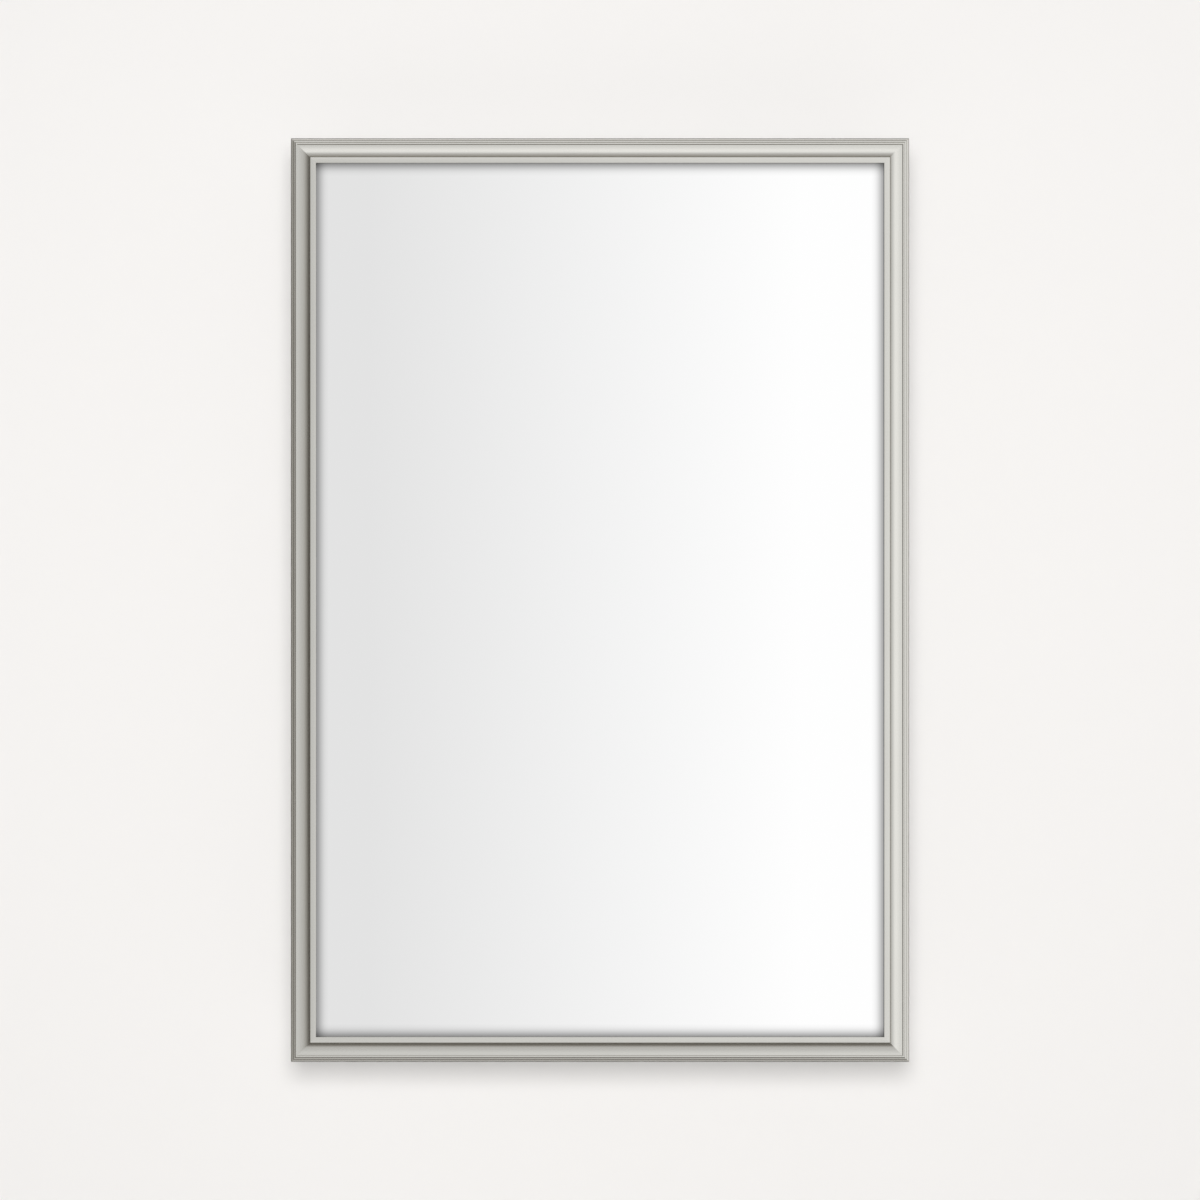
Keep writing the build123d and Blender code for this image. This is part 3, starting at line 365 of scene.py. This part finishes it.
def silver_plastic(name, color):
    """Moulded plastic coloured silver grey to go with the metal inside."""
    material = plastic(name, color)
    shader_of(material).inputs["Metallic"].default_value = SILVER_PIGMENT
    return material


def clear_plastic(name, color, clarity):
    """Moulded plastic that lets a share of the light through."""
    material = plastic(name, color, roughness=(0.15, 0.3))
    shader = shader_of(material)
    shader.inputs["Transmission Weight"].default_value = clarity
    shader.inputs["IOR"].default_value = PLASTIC_IOR
    return material


def faced_board():
    """White melamine face with its fine pebbled print."""
    material = new_material("faced_board", (0.80, 0.80, 0.785))
    tree = material.node_tree
    pebbles = noise_value(tree, 1500, detail=2.0)
    vary_roughness(material, noise_value(tree, 60), 0.36, 0.46)
    vary_color(material, noise_value(tree, 12, detail=3.0), 0.01)
    add_bump(material, pebbles, 20 * MICRON)
    return material


def foam(name, color):
    """Closed-cell foam or rubber, matt and pitted."""
    material = new_material(name, color)
    cells = noise_value(material.node_tree, 2200, detail=3.0)
    vary_roughness(material, cells, 0.75, 0.95)
    vary_color(material, cells, 0.12)
    add_bump(material, cells, 100 * MICRON)
    return material


def make_materials():
    return {
        "nickel_upright": satin_nickel("nickel_upright", ALONG_Z),
        "nickel_level": satin_nickel("nickel_level", ALONG_X),
        "panel_upright": brushed_metal("panel_upright", PANEL_COLOR, ALONG_Z),
        "panel_level": brushed_metal("panel_level", PANEL_COLOR, ALONG_X),
        "hinge_steel": brushed_metal(
            "hinge_steel", (0.60, 0.60, 0.59), ALONG_Z, roughness=(0.26, 0.31), relief=MICRON
        ),
        "fastener_steel": cast_metal("fastener_steel", (0.66, 0.66, 0.65)),
        "key_zinc": cast_metal("key_zinc", (0.48, 0.49, 0.5)),
        "magnet_plate": brushed_metal("magnet_plate", (0.52, 0.52, 0.53), ALONG_Z, (0.15, 0.25)),
        "mirror": plain_mirror("mirror_glass"),
        "door_mirror": door_mirror_material(),
        "shelf_glass": shelf_glass(),
        "board": faced_board(),
        "rail_plastic": silver_plastic("rail_plastic", (0.80, 0.80, 0.79)),
        "latch_plastic": silver_plastic("latch_plastic", (0.70, 0.70, 0.69)),
        "pad_plastic": clear_plastic("pad_plastic", (0.9, 0.92, 0.92), 0.5),
        "bumper": clear_plastic("bumper_rubber", (0.80, 0.80, 0.76), 0.1),
        "tape_foam": foam("tape_foam", (0.72, 0.72, 0.70)),
        "gasket": foam("gasket_rubber", (0.035, 0.035, 0.035)),
    }


CAD_MATERIALS = {
    "side_panel_left": "panel_upright",
    "side_panel_right": "panel_upright",
    "top_panel": "panel_level",
    "bottom_panel": "panel_level",
    "back_panel": "panel_upright",
    "panel_rivets": "fastener_steel",
    "back_rivets": "fastener_steel",
    "back_mirror": "mirror",
    "back_mirror_tape": "tape_foam",
    "shelf_rails_left": "rail_plastic",
    "shelf_rails_right": "rail_plastic",
    "shelf_pads": "pad_plastic",
    "door_bumpers": "bumper",
    "shelf_low": "shelf_glass",
    "shelf_middle": "shelf_glass",
    "shelf_high": "shelf_glass",
    "shelf_supports_low": "fastener_steel",
    "shelf_supports_middle": "fastener_steel",
    "shelf_supports_high": "fastener_steel",
    "hinge_leaf_body": "hinge_steel",
    "hinge_leaf_door": "hinge_steel",
    "hinge_pin": "hinge_steel",
    "hinge_rivets": "fastener_steel",
    "hinge_screws": "fastener_steel",
    "latch_housing": "latch_plastic",
    "latch_plunger": "latch_plastic",
    "latch_magnet": "magnet_plate",
    "latch_spring": "fastener_steel",
    "latch_screws": "fastener_steel",
    "strike_plate": "magnet_plate",
    "strike_screws": "fastener_steel",
    "frame_left": "nickel_upright",
    "frame_right": "nickel_upright",
    "frame_top": "nickel_level",
    "frame_bottom": "nickel_level",
    "corner_keys": "key_zinc",
    "corner_screws": "fastener_steel",
    "door_mirror": "door_mirror",
    "mirror_gasket": "gasket",
    "mirror_tape": "tape_foam",
    "door_board": "board",
    "board_screws": "fastener_steel",
    "inner_mirror": "mirror",
    "inner_mirror_tape": "tape_foam",
}


def dress_cad_nodes(materials):
    """Gives each CAD node its finish."""
    for node, name in CAD_MATERIALS.items():
        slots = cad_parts[node].data.materials
        slots.clear()
        slots.append(materials[name])


def stand_in(name, mesh, material, body, node):
    """Adds a piece that moves with a body and stands for a CAD node."""
    mesh.materials.append(material)
    piece = bpy.data.objects.new(name, mesh)
    bpy.context.collection.objects.link(piece)
    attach(piece, body)
    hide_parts(node)


# ------------------------------------------------------------------ frame moulding
def arc_points(centre, radius, start, end, steps):
    """Points on an arc, angles in radians, both ends included."""
    angles = [start + (end - start) * step / steps for step in range(steps + 1)]
    return [(centre[0] + radius * cos(a), centre[1] + radius * sin(a)) for a in angles]


def reed_points():
    """Reeds that climb inward, each a round riser and a tilted tread; the last is the crest."""
    points = []
    corner = (0.0, SKIRT_HEIGHT)
    for reed in range(REEDS):
        tilt = 0.0 if reed == REEDS - 1 else TREAD_TILT
        centre = (corner[0] + REED_ROUND, corner[1])
        riser = arc_points(centre, REED_ROUND, pi, pi / 2 + tilt, ARC_STEPS)
        run = corner[0] + REED_WIDTH - riser[-1][0]
        corner = (corner[0] + REED_WIDTH, riser[-1][1] + run * tan(tilt))
        points += riser
    points.append(corner)
    points.append((COVE_START_U, corner[1] - (COVE_START_U - corner[0]) * tan(CREST_FALL)))
    return points


def moulding_outline():
    """The section's outer line, from the skirt's back edge round the front to the rebate."""
    points = [(FRAME_WALL, 0.0), (0.0, 0.0)] + reed_points()
    start = points[-1]
    width = COVE_END[0] - start[0]
    rise = COVE_END[1] - start[1]
    for step in range(1, COVE_STEPS + 1):
        angle = -pi / 2 + pi / 2 * step / COVE_STEPS
        points.append((start[0] + width * cos(angle), COVE_END[1] + rise * sin(angle)))
    crest = DOOR_DEPTH - COVE_END[1]
    points += arc_points((COVE_END[0] + crest, COVE_END[1]), crest, pi, pi / 2, ARC_STEPS)[1:]
    bead_centre = (FRAME_WIDTH - BEAD_INNER_ROUND, DOOR_DEPTH - BEAD_INNER_ROUND)
    points += arc_points(bead_centre, BEAD_INNER_ROUND, pi / 2, 0, ARC_STEPS)
    points += [(FRAME_WIDTH, LIP), (REBATE_WALL, LIP)]
    points += [(REBATE_WALL, WEB_LOW), (FRAME_WALL, WEB_LOW)]
    return points


def moulding_mesh(name, length, place):
    """A mitred moulding between two 45 degree ends; place turns (u, d, along) into metres."""
    outline = moulding_outline()
    loops = [outline, TUBE]
    mesh = bpy.data.meshes.new(name)
    shape = bmesh.new()
    ends = []
    for end in (-1, 1):
        rings = []
        for loop in loops:
            rings.append([shape.verts.new(place(u, d, end * (length / 2 - u))) for u, d in loop])
        ends.append(rings)
    for near, far in zip(*ends):
        for index in range(len(near)):
            after = (index + 1) % len(near)
            shape.faces.new((near[index], near[after], far[after], far[index]))
    flat = [[Vector((u, d, 0)) for u, d in loop] for loop in loops]
    for rings in ends:
        corners = rings[0] + rings[1]
        for triangle in tessellate_polygon(flat):
            shape.faces.new([corners[index] for index in triangle])
    bmesh.ops.recalc_face_normals(shape, faces=shape.faces)
    shape.to_mesh(mesh)
    shape.free()
    mesh.shade_smooth()
    mesh.set_sharp_from_angle(angle=SHARP_ANGLE)
    return mesh


def frame_mouldings(materials):
    """The four mouldings, each standing for its CAD node."""
    half_width = DOOR_WIDTH / 2
    half_height = DOOR_HEIGHT / 2

    def upright(side):
        return lambda u, d, along: (side * (half_width - u * MM), DOOR_BACK_Y - d * MM, along * MM)

    def level(side):
        return lambda u, d, along: (along * MM, DOOR_BACK_Y - d * MM, side * (half_height - u * MM))

    plan = [
        ("left", DOOR_HEIGHT, upright(-1), "nickel_upright"),
        ("right", DOOR_HEIGHT, upright(1), "nickel_upright"),
        ("bottom", DOOR_WIDTH, level(-1), "nickel_level"),
        ("top", DOOR_WIDTH, level(1), "nickel_level"),
    ]
    for side, length, place, material in plan:
        name = f"moulding_{side}"
        mesh = moulding_mesh(name, length / MM, place)
        stand_in(name, mesh, materials[material], "door", f"frame_{side}")


# ------------------------------------------------------------------ mirrors
SEAM = 0.8 * MM


def seamed_plate(name, low, high):
    """Plate glass with its edges seamed, which means ground off at 45 degrees all round."""
    mesh = bpy.data.meshes.new(name)
    shape = bmesh.new()
    bmesh.ops.create_cube(shape, size=1.0)
    for corner in shape.verts:
        corner.co = [a + (b - a) * (share + 0.5) for a, b, share in zip(low, high, corner.co)]
    bmesh.ops.bevel(shape, geom=shape.edges[:], offset=SEAM, segments=1, affect="EDGES")
    shape.to_mesh(mesh)
    shape.free()
    return mesh


def mirror_plates(materials):
    """The three mirrors, each standing for its CAD node."""
    plan = [
        ("door_mirror", "door", "door_mirror"),
        ("inner_mirror", "door", "mirror"),
        ("back_mirror", "cabinet", "mirror"),
    ]
    for node, body, material in plan:
        name = f"{node}_glass"
        mesh = seamed_plate(name, *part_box(node))
        stand_in(name, mesh, materials[material], body, node)


# ------------------------------------------------------------------ stage: wall and floor
WALL_COLOR = (0.913, 0.896, 0.879)
FLOOR_COLOR = (0.80, 0.79, 0.775)
STAGE_REACH = 6.0
FLOOR_BOUNCE = 0.45
FLOOR_Z = -1.35
FLOOR_BEHIND = 3.0
WALL_GAP = 0.5 * MM
WALL_HOLE_MARGIN = 6 * MM
STAGE_FADE = (1.0, 2.2)


def stage_mesh(name, points, faces, material):
    """A flat part of the surroundings, which polished surfaces don't show."""
    mesh = bpy.data.meshes.new(name)
    mesh.from_pydata(points, [], faces)
    piece = bpy.data.objects.new(name, mesh)
    bpy.context.collection.objects.link(piece)
    mesh.materials.append(material)
    piece.visible_glossy = False


def fade_stage(tree, surface, path, eye_only=False):
    """Clear from behind, and melting into the backdrop far from the object for the eye alone.

    With eye_only the surface is there for the eye and clear to light.
    """
    geometry = add_node(tree, "ShaderNodeNewGeometry")
    reach = add_node(tree, "ShaderNodeVectorMath", operation="LENGTH")
    tree.links.new(geometry.outputs["Position"], reach.inputs[0])
    far = ranged(tree, reach.outputs["Value"], *STAGE_FADE)
    far = math_node(tree, "MULTIPLY", far, path.outputs["Is Camera Ray"])
    away = math_node(tree, "MAXIMUM", far, geometry.outputs["Backfacing"])
    if eye_only:
        unseen = math_node(tree, "SUBTRACT", 1.0, path.outputs["Is Camera Ray"])
        away = math_node(tree, "MAXIMUM", away, unseen)
    clear = add_node(tree, "ShaderNodeBsdfTransparent")
    mix = add_node(tree, "ShaderNodeMixShader")
    tree.links.new(away, mix.inputs[0])
    tree.links.new(surface, mix.inputs[1])
    tree.links.new(clear.outputs[0], mix.inputs[2])
    tree.links.new(mix.outputs[0], tree.nodes["Material Output"].inputs["Surface"])


def wall_material(name, eye_only=False):
    """Matt paint."""
    material = new_material(name, WALL_COLOR, roughness=0.9)
    shader = shader_of(material)
    shader.inputs["Specular IOR Level"].default_value = 0.0
    tree = material.node_tree
    fade_stage(tree, shader.outputs[0], add_node(tree, "ShaderNodeLightPath"), eye_only)
    return material


def make_wall():
    """A wall whose part behind the cabinet lets light through, so that the back stays lit."""
    low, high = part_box("back_panel")
    hole_x = high.x - WALL_HOLE_MARGIN
    hole_z = high.z - WALL_HOLE_MARGIN
    y = WALL_Y + WALL_GAP
    reach = STAGE_REACH
    outer = [(-reach, FLOOR_Z), (reach, FLOOR_Z), (reach, reach), (-reach, reach)]
    inner = [(-hole_x, -hole_z), (hole_x, -hole_z), (hole_x, hole_z), (-hole_x, hole_z)]
    points = [(x, y, z) for x, z in outer + inner]
    faces = [(i, (i + 1) % 4, 4 + (i + 1) % 4, 4 + i) for i in range(4)]
    stage_mesh("wall", points, faces, wall_material("wall_paint"))
    behind = wall_material("wall_behind", eye_only=True)
    stage_mesh("wall_behind", points[4:], [(0, 1, 2, 3)], behind)


def make_floor():
    """A plain pale floor, even to the eye, that sends a little light back up at the wall."""
    reach = STAGE_REACH
    corners = ((-reach, FLOOR_BEHIND), (-reach, -reach), (reach, -reach), (reach, FLOOR_BEHIND))
    points = [(x, y, FLOOR_Z) for x, y in corners]
    bounce = tuple(channel * FLOOR_BOUNCE for channel in FLOOR_COLOR)
    material = new_material("floor_finish", bounce, roughness=0.7)
    tree = material.node_tree
    path = add_node(tree, "ShaderNodeLightPath")
    glow = add_node(tree, "ShaderNodeEmission")
    glow.inputs["Color"].default_value = (*FLOOR_COLOR, 1)
    seen = add_node(tree, "ShaderNodeMixShader")
    tree.links.new(path.outputs["Is Camera Ray"], seen.inputs[0])
    tree.links.new(shader_of(material).outputs[0], seen.inputs[1])
    tree.links.new(glow.outputs[0], seen.inputs[2])
    fade_stage(tree, seen.outputs[0], path)
    stage_mesh("floor", points, [(0, 1, 2, 3)], material)


# ------------------------------------------------------------------ light
LIGHT_DISTANCE = 4.1
KEY_SHARE = 0.42
KEY_SIZE = (0.98, 0.95)
KEY_Z = 0.47
FILL_SHARE = 0.43
FILL_SIZE = (0.05, 0.05)
AMBIENT = 0.16


def make_area_light(name, share, size, z):
    """An area light in front; share is the part of full light that it gives a wall facing it."""
    data = bpy.data.lights.new(name, "AREA")
    data.shape = "ELLIPSE"
    data.size, data.size_y = size
    data.energy = share * pi**2 * LIGHT_DISTANCE**2
    light = bpy.data.objects.new(name, data)
    bpy.context.collection.objects.link(light)
    light.location = (0, -LIGHT_DISTANCE, z)
    light.rotation_euler = (radians(90), 0, 0)
    light.visible_glossy = False
    light.visible_camera = False
    light.visible_transmission = False


def make_lights():
    """A soft key just above the lens, and a small fill on its axis."""
    make_area_light("key", KEY_SHARE, KEY_SIZE, KEY_Z)
    make_area_light("fill", FILL_SHARE, FILL_SIZE, 0.0)


# Brightness of the studio that gloss shows, by the angle from straight in front (degrees). It is
# an even room with a narrow cross of cards, level and upright through the middle of the view, that
# shapes the mouldings: light cards to the right and above, dark ones to the left and below. Its
# centre, which the door's mirror shows to a lens in front, goes from grey at the left to white.
ROOM = [(8, 0.92), (25, 0.98), (60, 0.85), (100, 0.62), (135, 0.60), (165, 0.72)]
CARDS = {
    "left": [
        (6, 0.715), (17, 0.68), (25, 0.60), (36, 0.385), (53, 0.18), (69, 0.12), (104, 0.09), (150, 0.7),
    ],
    "right": [
        (6, 0.98), (13, 1.11), (21, 1.24), (31, 1.23), (43, 0.91), (69, 0.68), (104, 0.38), (150, 0.7),
    ],
    "up": [
        (7, 0.93), (15, 1.09), (22, 1.25), (30, 1.26), (38, 0.76), (54, 0.54), (105, 0.24), (150, 0.7),
    ],
    "down": [
        (7, 1.02), (15, 0.885), (22, 0.74), (36, 0.68), (43, 0.42), (54, 0.20), (105, 0.14), (150, 0.7),
    ],
}
CARD_HALF_WIDTH = 0.11
CARD_FADE_END = 0.22
CENTRE_LOW_X = -0.0475
CENTRE_HIGH_X = 0.041
CENTRE_LOW = 0.81
CENTRE_HIGH = 1.045
CENTRE_END = 7.0
SIDES_START = 14.0
DIM_TINT = (1.0, 0.93, 0.82)
DIM_TINT_LEVEL = 0.12
PLAIN_TINT_LEVEL = 0.75
BACKDROP_LEVEL = 0.9
NOT_ZERO = 0.0001


def angle_ramp(tree, angle, levels):
    """Levels at angles in degrees, read at an angle that is a share of a half turn."""
    return ramp_node(tree, angle, [(degrees / 180, level) for degrees, level in levels])


def studio_brightness(tree):
    """The studio's brightness towards the direction looked in."""
    coordinate = add_node(tree, "ShaderNodeTexCoord")
    split = add_node(tree, "ShaderNodeSeparateXYZ")
    tree.links.new(coordinate.outputs["Generated"], split.inputs[0])
    x, y, z = split.outputs
    forward = math_node(tree, "MULTIPLY", y, -1.0)
    angle = math_node(tree, "DIVIDE", math_node(tree, "ARCCOSINE", forward), pi)
    squares = [math_node(tree, "MULTIPLY", axis, axis) for axis in (x, z)]
    sideways = math_node(tree, "MAXIMUM", math_node(tree, "ADD", *squares), NOT_ZERO)
    around = None
    for side, axis, sign in (("right", x, 1), ("left", x, -1), ("up", z, 1), ("down", z, -1)):
        toward = math_node(tree, "MAXIMUM", math_node(tree, "MULTIPLY", axis, sign), 0.0)
        weight = math_node(tree, "DIVIDE", math_node(tree, "MULTIPLY", toward, toward), sideways)
        term = math_node(tree, "MULTIPLY", weight, angle_ramp(tree, angle, CARDS[side]))
        around = term if around is None else math_node(tree, "ADD", around, term)
    distances = [math_node(tree, "ABSOLUTE", axis) for axis in (x, z)]
    off_cross = math_node(tree, "MINIMUM", *distances)
    in_room = ranged(tree, off_cross, CARD_HALF_WIDTH, CARD_FADE_END)
    around = mixed(tree, in_room, around, angle_ramp(tree, angle, ROOM))
    centre = ranged(tree, x, CENTRE_LOW_X, CENTRE_HIGH_X, CENTRE_LOW, CENTRE_HIGH)
    outside = ranged(tree, angle, CENTRE_END / 180, SIDES_START / 180)
    return mixed(tree, outside, centre, around)


def make_world():
    """Even light for matt surfaces, the studio for gloss, and a plain pale backdrop for the eye."""
    world = bpy.data.worlds.new("studio")
    bpy.context.scene.world = world
    world.use_nodes = True
    tree = world.node_tree
    background = tree.nodes["Background"]
    path = add_node(tree, "ShaderNodeLightPath")
    straight = math_node(tree, "LESS_THAN", path.outputs["Diffuse Depth"], 0.5)
    gloss = math_node(tree, "MULTIPLY", path.outputs["Is Glossy Ray"], straight)
    brightness = studio_brightness(tree)
    level = mixed(tree, gloss, AMBIENT, brightness)
    eye, through_glass = path.outputs["Is Camera Ray"], path.outputs["Is Transmission Ray"]
    seen = math_node(tree, "MAXIMUM", eye, through_glass)
    tree.links.new(mixed(tree, seen, level, BACKDROP_LEVEL), background.inputs["Strength"])
    dim = ranged(tree, brightness, DIM_TINT_LEVEL, PLAIN_TINT_LEVEL, 1.0, 0.0)
    tint = add_node(tree, "ShaderNodeMix", data_type="RGBA")
    tint.inputs["A"].default_value = (1, 1, 1, 1)
    tint.inputs["B"].default_value = (*DIM_TINT, 1)
    tree.links.new(math_node(tree, "MULTIPLY", dim, gloss), tint.inputs["Factor"])
    tree.links.new(tint.outputs["Result"], background.inputs["Color"])


# ------------------------------------------------------------------ build
bpy.context.scene.view_settings.view_transform = "Standard"
make_camera()
materials = make_materials()
dress_cad_nodes(materials)
frame_mouldings(materials)
mirror_plates(materials)
make_wall()
make_floor()
make_lights()
make_world()
